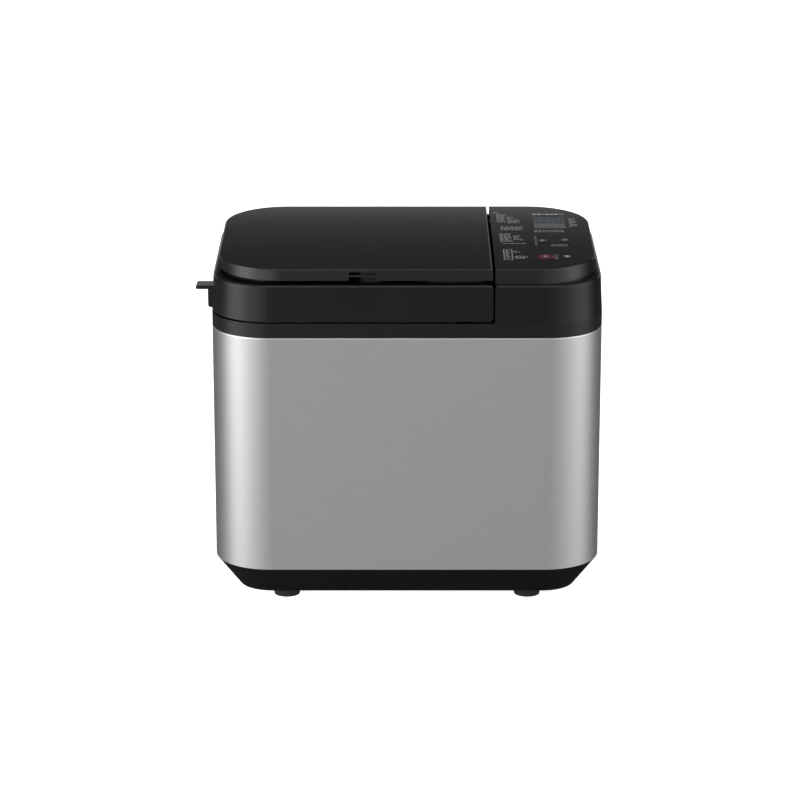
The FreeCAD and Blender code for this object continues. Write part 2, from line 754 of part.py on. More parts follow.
def make_oven():
    oven = new_body("oven_box")
    slab(oven, S.oven_floor, oven_top, oven_plan(S.sheet))
    slab(oven, S.deck, oven_top, oven_plan(10))
    hollow(oven, floor_top, oven_top, oven_plan())
    hollow(oven, S.oven_floor, floor_top, circle(13, S.lid_x, S.oven_y))
    sketch = new_sketch(oven, "YZ_Plane", z=oven_right - 3)
    for y in heater_ends:
        add_circle(sketch, 3.6, y, heater_z)
    add_circle(sketch, 3, sensor_y, sensor_z)
    pocket(oven, sketch, 10, upwards=True)

    posts = [add_rod("Stand", S.lid_x + 80 * i, S.oven_y + 60 * j, chassis_top, 5,
                     S.oven_floor - chassis_top) for i in (-1, 1) for j in (-1, 1)]
    group("oven_stand", posts)

    seat = new_body("pan_seat")
    slab(seat, floor_top, floor_top + 6.8, circle(42, S.lid_x, S.oven_y),
         circle(38.4, S.lid_x, S.oven_y))

    heater = new_body("heater")
    path = new_sketch(heater, z=heater_z)
    near, far = S.lid_x + 98, S.lid_x - 98
    low, high = S.oven_y - 78, S.oven_y + 78
    add_path(path, [(84, heater_ends[0]), (near, heater_ends[0]), (near, low), (far, low),
                    (far, high), (near, high), (near, heater_ends[1]), (84, heater_ends[1])],
             [9, 22, 22, 22, 22, 9])
    rod = new_sketch(heater, "YZ_Plane", z=84)
    add_circle(rod, heater_rod, heater_ends[0], heater_z)
    sweep(heater, rod, path)

    under = heater_z - heater_rod - 4
    clips = [add_box("Clip", oven_left, S.oven_y - 10, under, 14, 20, 4),
             add_box("Clip", S.lid_x - 10, oven_front, under, 20, 17, 4),
             add_box("Clip", S.lid_x - 10, oven_rear - 17, under, 20, 17, 4)]
    group("heater_clips", clips)

    sensor = join("Sensor", add_rod("Probe", oven_right - 6, sensor_y, sensor_z, 3, 20, "x"),
                  add_rod("Flange", oven_right + S.sheet, sensor_y, sensor_z, 7, 3, "x"))
    keep("temperature_sensor", sensor)

    fuse = join("Fuse", add_box("FuseBracket", oven_right + S.sheet, -70, 150, 2, 36, 14),
                add_rod("FuseBody", oven_right + S.sheet + 5, -66, 157, 3.5, 28, "y"))
    keep("thermal_fuse", fuse)


heater_ends = (-30, 22)
heater_rod = Size(3.3)
heater_z = Size(81)
sensor_y, sensor_z = Size(50), Size(120)


def make_drive():
    housing = turned("bearing_housing", [(8, 33), (12, 33), (12, chassis_top),
                                         (24, chassis_top), (24, chassis_top + 3),
                                         (12, chassis_top + 3), (12, 57), (8, 57)],
                     S.lid_x, S.oven_y)
    turned("drive_bush", [(S.drive_radius + 0.05, 33), (8, 33), (8, 57),
                          (S.drive_radius + 0.05, 57)], S.lid_x, S.oven_y)
    turned("drive_shaft", [(0, 17), (S.drive_radius, 17), (S.drive_radius, 60), (0, 60)],
           S.lid_x, S.oven_y)
    bottom = S.pulley_z
    top = S.pulley_z + S.pulley_width
    for label, radius, bore, x in (
            ("drive_pulley", S.large_pulley, S.drive_radius, S.lid_x),
            ("motor_pulley", S.small_pulley, Size(4), S.motor_x)):
        turned(label, [(bore, bottom), (radius + 2, bottom), (radius + 2, bottom + 2),
                       (radius - 1, bottom + 2), (radius - 1, top - 2), (radius + 2, top - 2),
                       (radius + 2, top), (bore, top)], x, S.oven_y)
    wheel = pieces["drive_pulley"]
    sketch = new_sketch(wheel, z=top)
    add_circle(sketch, 10, 26, 0)
    window = pocket(wheel, sketch, S.pulley_width)
    repeat_round(wheel, window, 5)

    belt = new_body("drive_belt")
    sketch = new_sketch(belt, z=bottom + 2.5)
    for thickness in (1.4, -0.6):
        add_loop(sketch, S.lid_x, S.large_pulley + thickness, S.motor_x,
                 S.small_pulley + thickness)
    pad(belt, sketch, S.pulley_width - 5)
    place(belt, 0, S.oven_y)

    plate = new_body("motor_bracket")
    slab(plate, chassis_top, chassis_top + 3, block(S.motor_x, S.oven_y, 72, 72, 6),
         circle(10, S.motor_x, S.oven_y))
    motor_low = chassis_top + 3
    turned("motor", [(4.05, motor_low), (28, motor_low), (30, motor_low + 2),
                     (30, motor_low + 50), (22, motor_low + 58), (0, motor_low + 58),
                     (0, motor_low + 24), (4.05, motor_low + 24)], S.motor_x, S.oven_y)
    turned("motor_shaft", [(0, 17), (4, 17), (4, motor_low + 20), (0, motor_low + 20)],
           S.motor_x, S.oven_y)

    coupling = turned("drive_coupling", [(5, 57.8), (17, 57.8), (17, 62), (0, 62), (0, 60),
                                         (5, 60)], S.lid_x, S.oven_y)
    slab(coupling, 62, 69, circle(3, 13), circle(3, -13))


def add_loop(sketch, x1, r1, x2, r2):
    """The outline of a belt round two circles whose centres are on the X axis."""
    x1, r1, x2, r2 = (size(v) for v in (x1, r1, x2, r2))
    lean = math.acos((r1.value - r2.value) / (x2.value - x1.value))
    ends = []
    for x, r, start, stop in ((x1, r1, lean, 2 * math.pi - lean), (x2, r2, -lean, lean)):
        circle = Part.Circle(Vector(x.value, 0, 0), Vector(0, 0, 1), r.value)
        arc = sketch.addGeometry(Part.ArcOfCircle(circle, start, stop), False)
        constrain(sketch, "Radius", arc, value=r)
        constrain(sketch, "DistanceX", -1, 1, arc, 3, value=x)
        constrain(sketch, "PointOnObject", arc, 3, -1)
        ends.append(arc)
    for side in (1, -1):
        way = Vector(math.cos(lean), side * math.sin(lean), 0)
        line = sketch.addGeometry(Part.LineSegment(
            Vector(x1.value, 0, 0) + way * r1.value, Vector(x2.value, 0, 0) + way * r2.value),
            False)
        constrain(sketch, "Tangent", line, 1, ends[0], 1 if side == 1 else 2)
        constrain(sketch, "Tangent", line, 2, ends[1], 2 if side == 1 else 1)


def make_electrics():
    board_y = steel_inside - 3 - 15
    board = add_box("Board", 76, board_y - 1.6, 100, 56, 1.6, 90)
    keep("power_board", board)
    front = board_y - 1.6
    parts = [add_box("Transformer", 80, front - 24, 150, 30, 24, 34),
             add_box("Relay", 116, front - 16, 156, 12, 16, 20),
             add_box("HeatSink", 80, front - 14, 106, 8, 14, 36),
             add_rod("Capacitor", 98, front - 20, 118, 6, 20, "y"),
             add_rod("Capacitor", 114, front - 20, 118, 6, 20, "y"),
             add_box("Terminals", 98, front - 10, 132, 28, 10, 8)]
    group("power_parts", parts)


# ---------------------------------------------------------------- pan and blade

def pan_outline(height, outset=0):
    """The pan's plan at a height above its bottom, moved out by outset."""
    taper = S.pan_taper - S.pan_taper * size(height) / S.pan_height
    grow = size(outset) - taper
    return block(S.lid_x, S.oven_y, S.pan_length + 2 * grow, S.pan_width + 2 * grow,
                 30 + grow)


def make_pan():
    pan = new_body("pan_body")
    for outset, low_height, cut in ((Size(0), Size(0), False),
                                    (-S.pan_wall, S.pan_wall, True)):
        low = new_sketch(pan, z=S.pan_bottom + low_height)
        pan_outline(low_height, outset)(low)
        high = new_sketch(pan, z=pan_rim)
        pan_outline(S.pan_height, outset)(high)
        loft(pan, low, high, cut=cut)
        if not cut:
            slab(pan, pan_rim - 3, pan_rim, pan_outline(S.pan_height, 3))
    slab(pan, floor_top + 0.3, S.pan_bottom, circle(38, S.lid_x, S.oven_y),
         circle(36, S.lid_x, S.oven_y))
    slab(pan, S.pan_bottom - 2, S.pan_bottom + 8, circle(10, S.lid_x, S.oven_y))
    hollow(pan, S.pan_bottom - 3, S.pan_bottom + 8, circle(7, S.lid_x, S.oven_y))
    for side in (-1, 1):
        sketch = new_sketch(pan, "YZ_Plane", z=S.lid_x + (S.pan_length / 2 + 5) * side)
        add_circle(sketch, 3, S.oven_y, S.pivot_z)
        pad(pan, sketch, 13, both_ways=True)
    round_edges(pan, 1.2, lambda e: abs(e.BoundBox.ZMin - pan_rim.value) < 1e-3
                and abs(e.BoundBox.ZLength) < 1e-3)

    turned("pan_bush", [(S.shaft_radius + 0.05, S.pan_bottom - 2), (7, S.pan_bottom - 2),
                        (7, S.pan_bottom + 8), (S.shaft_radius + 0.05, S.pan_bottom + 8)],
           S.lid_x, S.oven_y)

    arm = S.pan_length / 2 + 7
    bend = Size(16)
    bar_y = S.oven_y - S.handle_reach
    shapes = [add_rod("Bar", S.lid_x - arm + bend, bar_y, S.pivot_z, S.handle_rod,
                      2 * (arm - bend), "x")]
    for side in (-1, 1):
        x = S.lid_x + arm * side
        shapes.append(add_rod("Arm", x, bar_y + bend, S.pivot_z, S.handle_rod,
                              S.handle_reach - bend - 4, "y"))
        shapes.append(add_rod("Eye", x - 3, S.oven_y, S.pivot_z, 6.5, 6, "x"))
        corner = doc.addObject("Part::Torus", "Bend")
        bind(corner, "Radius1", bend)
        bind(corner, "Radius2", S.handle_rod)
        corner.Angle3 = 90
        turn = Rotation(Vector(0, 0, 1), 180 if side < 0 else 270)
        shapes.append(place(corner, x - bend * side, bar_y + bend, S.pivot_z, turn))
    bore = add_rod("Bore", S.lid_x - arm - 10, S.oven_y, S.pivot_z, 3.05, 2 * arm + 20, "x")
    keep("pan_handle", subtract("Handle", join("HandleSolid", *shapes), bore))


def make_blade():
    x, y, r = S.lid_x, S.oven_y, S.shaft_radius
    turned("blade_shaft", [(0, 63), (r, 63), (r, 107), (0, 107)], x, y)
    wings = turned("blade_coupling", [(r, 63), (8, 63), (8, 68.6), (r, 68.6)], x, y)
    slab(wings, 63, 68.6, rectangle(-2.5, 2.5, 6, 15.5), rectangle(-2.5, 2.5, -15.5, -6))
    blade = turned("kneading_blade", [(r, 80.8), (10, 80.8), (8, 104), (r, 104)], x, y)
    sketch = new_sketch(blade, "XZ_Plane")
    add_polygon(sketch, [(7, 81.2), (40, 81.2), (37, 90), (22, 99), (7, 103)])
    pad(blade, sketch, 6, both_ways=True)
    round_edges(blade, 1.2, lambda e: e.BoundBox.XMin > 9 and e.BoundBox.YLength < 0.1)


# ---------------------------------------------------------------- lid and dispensers

dispensers = {"raisin": (S.raisin_x, S.raisin_length, S.raisin_width),
              "yeast": (S.yeast_x, S.yeast_length, S.yeast_width)}
roof_low = S.lid_deck - S.wall
box_low = Size(297)


def make_lid():
    lid = new_body("lid_frame")
    leaning(lid, lid_bottom, S.shoulder + 40, lid_plan)
    cut_above_shoulder(lid)
    hollow(lid, lid_bottom, roof_low, lid_plan(S.wall + 1.2, 7))
    hollow(lid, S.lid_deck, S.shoulder + 30, lid_plan(14, 10))
    for x, length, width in dispensers.values():
        hollow(lid, roof_low - 1, S.lid_deck + 1,
               block(x, S.box_y, length + 0.4, width + 0.4, 6.2))
    round_edges(lid, 5, lambda e: abs(e.BoundBox.ZMax - lid_bottom.value) < 1e-3
                and abs(e.BoundBox.XMin - S.lid_edge.value) < 1e-3)
    round_edges(lid, S.shoulder_round, lambda e: on_slope(e) and on_outline(e, 4)
                and e.Length > 30)

    # Hinge: notches that clear the ears, lugs beside them, and room behind the seam
    for side in (-1, 1):
        sketch = new_sketch(lid, "YZ_Plane", z=S.lid_x + S.hinge_x * side)
        add_outline(sketch, S.hinge_y - 12, half_depth + 5, lid_bottom - 1, S.hinge_z + 11.5)
        pocket(lid, sketch, 14, both_ways=True)
        sketch = new_sketch(lid, "YZ_Plane", z=S.lid_x + (S.hinge_x - 10.4) * side)
        add_outline(sketch, S.hinge_y - 8, half_depth - 2, S.hinge_z - 8, S.lid_deck)
        pad(lid, sketch, 8, both_ways=True)
    sketch = new_sketch(lid, "YZ_Plane", z=S.lid_x)
    add_circle(sketch, 3.05, S.hinge_y, S.hinge_z)
    pocket(lid, sketch, 2 * S.hinge_x, both_ways=True)
    sketch = new_sketch(lid, "YZ_Plane", z=S.lid_x)
    add_polygon(sketch, [(half_depth - 4, lid_bottom - 1), (half_depth + 1, lid_bottom - 1),
                         (half_depth + 1, lid_bottom + 4)])
    pocket(lid, sketch, 3 * S.body_width, both_ways=True)

    # Steam slots in the rear wall
    slot = hollow(lid, 306, 320, rectangle(-82, -78.5, half_depth - 5, half_depth + 1))
    repeat(lid, slot, "X_Axis", 70, 10)

    # Posts for the cover's hinge
    for side in (-1, 1):
        sketch = new_sketch(lid, "YZ_Plane", z=S.lid_x + S.cover_hinge_x * side)
        add_outline(sketch, cover_axis_y - 2.9, cover_axis_y + 2.9, S.shoulder,
                    cover_axis_z + 2.9, (0, 0, 2.8, 2.8))
        pad(lid, sketch, 8, both_ways=True)
    sketch = new_sketch(lid, "YZ_Plane", z=S.lid_x)
    add_circle(sketch, 1.5, cover_axis_y, cover_axis_z)
    pocket(lid, sketch, 3 * S.cover_hinge_x, both_ways=True)

    # Bosses that carry the inner plate
    for x, y in ((-150, -60), (-150, 60), (-47, -104), (76, -60), (76, 60)):
        boss = new_sketch(lid, z=liner_low + S.sheet)
        add_circle(boss, 4, x, y)
        pad(lid, boss, roof_low - liner_low - S.sheet + 1)

    pins = [add_rod("CoverPin", S.lid_x + S.cover_hinge_x * side - (4 if side < 0 else 10.4),
                    cover_axis_y, cover_axis_z, 1.5, 14.4, "x") for side in (-1, 1)]
    group("cover_pins", pins)

    liner = new_body("lid_liner")
    holes = [block(x, S.box_y + 3, length + 2, width + 10, 4)
             for x, length, width in dispensers.values()]
    slab(liner, liner_low, liner_low + S.sheet, oven_plan(8), *holes)

    gasket = new_body("lid_gasket")
    slab(gasket, oven_top + 0.4, liner_low, oven_plan(7), oven_plan(2))

    grip = new_body("lid_grip")
    front, rear = S.grip_y - S.grip_length / 2, S.grip_y + S.grip_length / 2
    slab(grip, grip_plate, grip_plate + 3.8,
         rectangle(body_left - 16, body_left + 1.5, front, rear))
    slab(grip, grip_low, grip_plate, rectangle(body_left - 4, body_left + 1.5, front, rear))
    round_edges(grip, 1.6, lambda e: e.BoundBox.XMax < body_left.value - 15
                and e.BoundBox.YLength > 15)
    round_edges(grip, 2.5, lambda e: e.BoundBox.XMax < body_left.value - 3
                and e.BoundBox.YLength > 15 and e.BoundBox.ZMax < grip_low.value + 0.1)
    leaning(grip, lid_bottom, S.shoulder + 40, lid_plan, cut=True)


liner_low = Size(301)
grip_low = lid_bottom + 0.5
grip_plate = grip_low + 18.6
cosine, sine = math.cos(math.radians(tilt)), math.sin(math.radians(tilt))
cover_axis_y = S.cover_hinge_y * cosine - S.cover_hinge_z * sine
cover_axis_z = slope_z + S.cover_hinge_y * sine + S.cover_hinge_z * cosine


def make_cover():
    cover = new_body("cover_plate")
    lean_slab(cover, S.rim_gap, S.cap_height, lid_plan, 0.4)
    lean_slab(cover, S.rim_gap, S.cap_height - 2.5, lid_plan, 2.9, 2.5, cut=True)
    hollow(cover, S.rim_gap, 6.5, rectangle(body_left, S.lid_edge, 105, half_depth))
    round_edges(cover, 1.8, lambda e: abs(e.BoundBox.ZMin - S.cap_height.value) < 1e-3
                and e.BoundBox.ZLength < 1e-3)
    for side in (-1, 1):
        x = S.lid_x + S.cover_hinge_x * side
        hollow(cover, S.rim_gap, S.cap_height - 2.5, rectangle(x - 5, x + 5, 105, half_depth))
        sketch = new_sketch(cover, "YZ_Plane", z=x - 7.4 * side)
        add_outline(sketch, S.cover_hinge_y - 3.5, S.cover_hinge_y + 3.5,
                    S.cover_hinge_z - 3.5, S.cap_height - 2)
        pad(cover, sketch, 6, both_ways=True)
    sketch = new_sketch(cover, "YZ_Plane", z=S.lid_x)
    add_circle(sketch, 1.55, S.cover_hinge_y, S.cover_hinge_z)
    pocket(cover, sketch, 3 * S.cover_hinge_x, both_ways=True)
    # Finger notch in the front of the rim, with a lip across it
    sketch = new_sketch(cover, "XZ_Plane", z=cap_half - 4)
    add_outline(sketch, -49.5, -22, S.cap_height - 5.6, S.cap_height - 3, (0.8,) * 4)
    add_outline(sketch, -49.5, -22, S.rim_gap - 1, S.rim_gap + 3.8, (0, 0, 0.8, 0.8))
    pocket(cover, sketch, 12, upwards=True)
    tilted(cover)

    seal = new_body("cover_seal")
    for x, length, width in dispensers.values():
        slab(seal, 0.35, S.cap_height - 2.5, block(x, S.box_y, length + 2, width + 2, 5),
             block(x, S.box_y, length - 6, width - 6, 3))
    tilted(seal)


def make_dispensers():
    solenoids = []
    for name, (x, length, width) in dispensers.items():
        front, rear = S.box_y - width / 2, S.box_y + width / 2
        box = new_body(f"{name}_box")
        slab(box, box_low, S.shoulder + 20, block(x, S.box_y, length, width, 6))
        cut_above_shoulder(box)
        slab(box, S.lid_deck, S.lid_deck + 1.5, block(x, S.box_y, length + 6, width + 6, 9))
        hollow(box, box_low, S.shoulder + 20, block(x, S.box_y, length - 4, width - 4, 4))
        for side in (-1, 1):
            sketch = new_sketch(box, "YZ_Plane", z=x + (length / 2 - 2) * side)
            add_outline(sketch, rear - 6, S.flap_hinge_y + 3, S.flap_hinge_z - 3, box_low + 4)
            pad(box, sketch, 4, both_ways=True)
        sketch = new_sketch(box, "YZ_Plane", z=x)
        add_circle(sketch, 1.55, S.flap_hinge_y, S.flap_hinge_z)
        pocket(box, sketch, length + 20, both_ways=True)

        flap = new_body(f"{name}_flap")
        slab(flap, box_low - 2.4, box_low - 0.4,
             rectangle(x - length / 2 + 5, x + length / 2 - 5, front + 3, S.flap_hinge_y - 1))
        for side in (-1, 1):
            sketch = new_sketch(flap, "YZ_Plane", z=x + (length / 2 - 7.5) * side)
            add_circle(sketch, 2.6, S.flap_hinge_y, S.flap_hinge_z)
            pad(flap, sketch, 6, both_ways=True)
            sketch = new_sketch(flap, "YZ_Plane", z=x + (length / 2 - 5) * side)
            add_circle(sketch, 1.5, S.flap_hinge_y, S.flap_hinge_z)
            pad(flap, sketch, 8, both_ways=True)

        case = add_box("Case", x - 9, front - 34, S.lid_deck, 18, 22, 16)
        bore = add_rod("Bore", x, front - 34, S.lid_deck + 8, 2.55, 30, "y")
        solenoids.append(subtract("Solenoid", case, bore))
        plunger = join("Plunger", add_rod("Rod", x, front - 30, S.lid_deck + 8, 2.5, 25, "y"),
                       add_rod("Head", x, front - 6, S.lid_deck + 8, 4, 2, "y"))
        keep(f"{name}_plunger", plunger)
    group("solenoids", solenoids)


# ---------------------------------------------------------------- build and write

make_base()
make_shell()
make_housing()
make_panel()
make_oven()
make_drive()
make_electrics()
make_pan()
make_blade()
make_lid()
make_cover()
make_dispensers()
doc.recompute()

faults = []
for thing in doc.Objects:
    if {"Invalid", "Error"} & set(thing.State):
        faults.append(f"{thing.Label}: {thing.State}")
for label, piece in pieces.items():
    if piece.Shape.isNull() or not piece.Shape.isValid():
        faults.append(f"{label}: bad shape")
if faults:
    raise ValueError("; ".join(faults))

os.makedirs("parts", exist_ok=True)
for label, piece in pieces.items():
    piece.Shape.exportStep(f"parts/{label}.step")
print(len(pieces), "sub-parts written")
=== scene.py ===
import math
import random

import bmesh
import bpy
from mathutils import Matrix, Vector


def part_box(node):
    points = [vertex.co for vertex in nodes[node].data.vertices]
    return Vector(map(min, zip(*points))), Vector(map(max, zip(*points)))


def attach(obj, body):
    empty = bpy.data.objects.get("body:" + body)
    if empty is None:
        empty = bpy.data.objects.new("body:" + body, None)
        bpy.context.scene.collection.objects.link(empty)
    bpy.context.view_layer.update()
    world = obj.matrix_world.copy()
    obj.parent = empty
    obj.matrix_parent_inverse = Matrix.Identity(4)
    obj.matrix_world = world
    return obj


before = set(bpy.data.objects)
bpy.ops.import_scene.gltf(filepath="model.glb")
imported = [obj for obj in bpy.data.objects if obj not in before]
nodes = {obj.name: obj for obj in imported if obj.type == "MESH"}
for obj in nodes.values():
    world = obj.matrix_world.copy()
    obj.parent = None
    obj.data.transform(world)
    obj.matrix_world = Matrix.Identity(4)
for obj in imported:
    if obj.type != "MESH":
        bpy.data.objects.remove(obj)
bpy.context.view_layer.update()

# The shoulder's slope and the height of the top face above it, as in the CAD design
TILT = math.atan(11.5 / 251)
SLOPE_Z = 0.34225
TOP = 0.0152

# Thickness of printed ink on the panel, and how deep the display's face lies, in mm
INK = 0.06
DISPLAY_DEPTH = 2.5

# The keys' places on the top face, in mm, and how far they stand above it
KEY_SPOTS = {"up_key": (145, -16), "down_key": (168, -14), "start_key": (146, -74),
             "stop_key": (167, -74)}
KEY_STAND = 0.6


# ---------------------------------------------------------------- materials

class Shader:
    """A node material built up step by step."""

    def __init__(self, name):
        self.material = bpy.data.materials.new(name)
        self.material.use_nodes = True
        self.tree = self.material.node_tree
        self.principled = self.tree.nodes["Principled BSDF"]
        self.place = self.add("ShaderNodeTexCoord").outputs["Object"]

    def add(self, kind, **values):
        node = self.tree.nodes.new(kind)
        for key, value in values.items():
            if key in node.inputs:
                node.inputs[key].default_value = value
            else:
                setattr(node, key, value)
        return node

    def link(self, start, end):
        self.tree.links.new(start, end)

    def set(self, **values):
        for key, value in values.items():
            self.principled.inputs[key.replace("_", " ")].default_value = value

    def noise(self, scale, detail=3.0, stretch=(1, 1, 1), roughness=0.5):
        mapping = self.add("ShaderNodeMapping")
        mapping.inputs["Scale"].default_value = stretch
        self.link(self.place, mapping.inputs["Vector"])
        noise = self.add("ShaderNodeTexNoise", Scale=scale, Detail=detail, Roughness=roughness)
        self.link(mapping.outputs["Vector"], noise.inputs["Vector"])
        return noise.outputs["Fac"]

    def spread(self, factor, low, high, start=0.3, end=0.7):
        """Maps a factor onto low to high."""
        node = self.add("ShaderNodeMapRange")
        for key, value in (("From Min", start), ("From Max", end), ("To Min", low),
                           ("To Max", high)):
            node.inputs[key].default_value = value
        self.link(factor, node.inputs["Value"])
        return node.outputs["Result"]

    def colours(self, factor, dark, light, start=0.35, end=0.65):
        ramp = self.add("ShaderNodeValToRGB")
        ramp.color_ramp.elements[0].position = start
        ramp.color_ramp.elements[1].position = end
        ramp.color_ramp.elements[0].color = (*dark, 1)
        ramp.color_ramp.elements[1].color = (*light, 1)
        self.link(factor, ramp.inputs["Fac"])
        self.link(ramp.outputs["Color"], self.principled.inputs["Base Color"])

    def roughen(self, factor, low, high):
        self.link(self.spread(factor, low, high), self.principled.inputs["Roughness"])

    def bump(self, height, distance, strength):
        node = self.add("ShaderNodeBump", Strength=strength, Distance=distance)
        self.link(height, node.inputs["Height"])
        self.link(node.outputs["Normal"], self.principled.inputs["Normal"])


def around(colour, amount):
    return tuple(c * (1 - amount) for c in colour), tuple(c * (1 + amount) for c in colour)


def moulded(name, colour, low, high, grain=2600, depth=0.00002, specular=0.5):
    """Moulded plastic with a fine spark-eroded grain and slight unevenness."""
    s = Shader(name)
    s.colours(s.noise(14, 4), *around(colour, 0.06))
    s.roughen(s.noise(60, 5), low, high)
    s.bump(s.noise(grain, 2), depth, 0.5)
    s.set(Specular_IOR_Level=specular)
    return s.material


def sheet_metal(name, colour, low, high, stretch=(1, 1, 60), scale=60, anisotropy=0.0):
    """Brushed or rolled sheet. The lines run along the axes that aren't stretched."""
    s = Shader(name)
    lines = s.noise(scale, 6, stretch, 0.65)
    s.colours(lines, *around(colour, 0.035))
    s.roughen(s.noise(scale * 0.7, 5, stretch), low, high)
    s.bump(lines, 0.000006, 0.35)
    s.set(Metallic=1.0, Anisotropic=anisotropy)
    if anisotropy:
        tangent = s.add("ShaderNodeTangent", direction_type="RADIAL", axis="Z")
        s.link(tangent.outputs["Tangent"], s.principled.inputs["Tangent"])
    return s.material


def turned_metal(name, colour, rough):
    s = Shader(name)
    s.colours(s.noise(90, 3), *around(colour, 0.05))
    s.roughen(s.noise(300, 4), rough * 0.8, rough * 1.3)
    s.bump(s.noise(500, 2, (1, 1, 6)), 0.000004, 0.4)
    s.set(Metallic=1.0)
    return s.material


def cast_metal(name, colour, rough, metallic=1.0):
    """Metal with a sand-blasted or scaled surface."""
    s = Shader(name)
    s.colours(s.noise(45, 6), *around(colour, 0.16))
    s.roughen(s.noise(200, 5), rough * 0.8, rough * 1.2)
    s.bump(s.noise(900, 4), 0.00004, 0.6)
    s.set(Metallic=metallic)
    return s.material


def soft_rubber(name, colour, grain=1500):
    s = Shader(name)
    s.colours(s.noise(40, 5), *around(colour, 0.2))
    s.roughen(s.noise(220, 4), 0.62, 0.85)
    s.bump(s.noise(grain, 3), 0.00004, 0.5)
    s.set(Specular_IOR_Level=0.35)
    return s.material


def non_stick(name):
    s = Shader(name)
    flecks = s.noise(1400, 2)
    s.colours(flecks, (0.018, 0.018, 0.019), (0.07, 0.07, 0.072), 0.62, 0.72)
    s.roughen(s.noise(160, 4), 0.3, 0.48)
    s.bump(s.noise(700, 3), 0.00002, 0.5)
    s.set(Specular_IOR_Level=0.6, Coat_Weight=0.3, Coat_Roughness=0.25)
    return s.material


def board(name):
    s = Shader(name)
    tracks = s.add("ShaderNodeTexBrick", Scale=90, offset=0.37, squash=0.7)
    tracks.inputs["Mortar Size"].default_value = 0.06
    tracks.inputs["Color1"].default_value = (0.012, 0.085, 0.03, 1)
    tracks.inputs["Color2"].default_value = (0.016, 0.105, 0.038, 1)
    tracks.inputs["Mortar"].default_value = (0.03, 0.18, 0.07, 1)
    s.link(s.place, tracks.inputs["Vector"])
    s.link(tracks.outputs["Color"], s.principled.inputs["Base Color"])
    s.roughen(s.noise(120, 4), 0.25, 0.4)
    return s.material


def window_glass(name):
    s = Shader(name)
    s.colours(s.noise(30, 3), (0.62, 0.65, 0.68), (0.68, 0.71, 0.74))
    s.roughen(s.noise(90, 3), 0.03, 0.08)
    s.set(Transmission_Weight=0.92, IOR=1.49)
    return s.material


def printed(name, colour, rough=0.45):
    s = Shader(name)
    s.colours(s.noise(900, 3), *around(colour, 0.12))
    s.roughen(s.noise(300, 3), rough * 0.8, rough * 1.2)
    s.set(Specular_IOR_Level=0.3)
    return s.material


black = moulded("black_moulding", (0.0038, 0.0038, 0.0040), 0.20, 0.22, 2600, 0.00001, 0.33)
# The base tray's black moulding is darker than the housing's black as painted shade, for the
# shade the downward-facing base lies in under the machine.
base_black_and_shade = moulded("base_moulding_and_painted_shade", (0.0022, 0.0022, 0.0022), 0.42, 0.48, 1900, 0.00002, 0.16)
cover_black = moulded("cover_moulding", (0.0055, 0.0055, 0.0057), 0.19, 0.205, 3200, 0.000005)
inner_black = moulded("inner_moulding", (0.012, 0.012, 0.012), 0.45, 0.6, 1500, 0.00004)
key_black = moulded("key_moulding", (0.012, 0.012, 0.0125), 0.25, 0.35, 3000, 0.00001)
cream = moulded("pulley_moulding", (0.55, 0.53, 0.46), 0.4, 0.5, 900, 0.00003)
brown = moulded("component_moulding", (0.06, 0.035, 0.015), 0.35, 0.55, 600, 0.00004)
wrap_steel = sheet_metal("wrap_steel", (0.60, 0.597, 0.588), 0.33, 0.37, anisotropy=0.5)
plain_steel = sheet_metal("plated_sheet", (0.55, 0.55, 0.54), 0.32, 0.45, (1, 12, 1), 40)
oven_steel = sheet_metal("aluminised_sheet", (0.52, 0.52, 0.51), 0.34, 0.5, (1, 1, 1), 120)
bright_steel = turned_metal("bright_steel", (0.62, 0.62, 0.63), 0.2)
bronze = turned_metal("sintered_bronze", (0.45, 0.30, 0.14), 0.4)
die_cast = cast_metal("die_cast", (0.42, 0.42, 0.43), 0.42)
sheath = cast_metal("heater_sheath", (0.075, 0.068, 0.062), 0.5, 0.8)
rubber = soft_rubber("black_rubber", (0.008, 0.008, 0.008))
silicone = soft_rubber("grey_silicone", (0.32, 0.31, 0.29), 900)
coating = non_stick("non_stick")
circuit = board("circuit_board")
glass = window_glass("display_glass")
unlit = moulded("unlit_display", (0.10, 0.112, 0.12), 0.3, 0.4, 2500, 0.00001)
print_grey = printed("grey_print", (0.22, 0.22, 0.225))
print_light = printed("light_print", (0.40, 0.40, 0.41))
print_red = printed("red_print", (0.22, 0.02, 0.045))
print_pink = printed("pink_print", (0.62, 0.28, 0.33))

looks = {
    black: ["upper_housing", "lid_frame", "lid_grip", "rear_panel"],
    base_black_and_shade: ["base_tray"],
    cover_black: ["cover_plate", "control_cover"],
    inner_black: ["raisin_box", "yeast_box"],
    key_black: ["up_key", "down_key", "start_key", "stop_key"],
    cream: ["drive_pulley", "motor_pulley"],
    brown: ["power_parts", "key_switches", "thermal_fuse", "solenoids"],
    wrap_steel: ["body_shell"],
    plain_steel: ["chassis_plate", "motor_bracket", "motor", "oven_stand", "pan_seat",
                  "heater_clips"],
    oven_steel: ["oven_box", "lid_liner", "raisin_flap", "yeast_flap"],
    bright_steel: ["chassis_screws", "hinge_pins", "cover_pins", "temperature_sensor",
                   "drive_shaft", "motor_shaft", "pan_handle", "blade_shaft",
                   "raisin_plunger", "yeast_plunger"],
    bronze: ["drive_bush", "pan_bush"],
    die_cast: ["bearing_housing", "drive_coupling", "blade_coupling"],
    sheath: ["heater"],
    rubber: ["feet", "cord_gland", "drive_belt"],
    silicone: ["lid_gasket", "cover_seal"],
    coating: ["pan_body", "kneading_blade"],
    circuit: ["control_board", "power_board"],
    glass: ["display_window"],
    unlit: ["display_module"],
}
for material, names in looks.items():
    for name in names:
        mesh = nodes[name].data
        mesh.materials.clear()
        mesh.materials.append(material)


# ---------------------------------------------------------------- new pieces

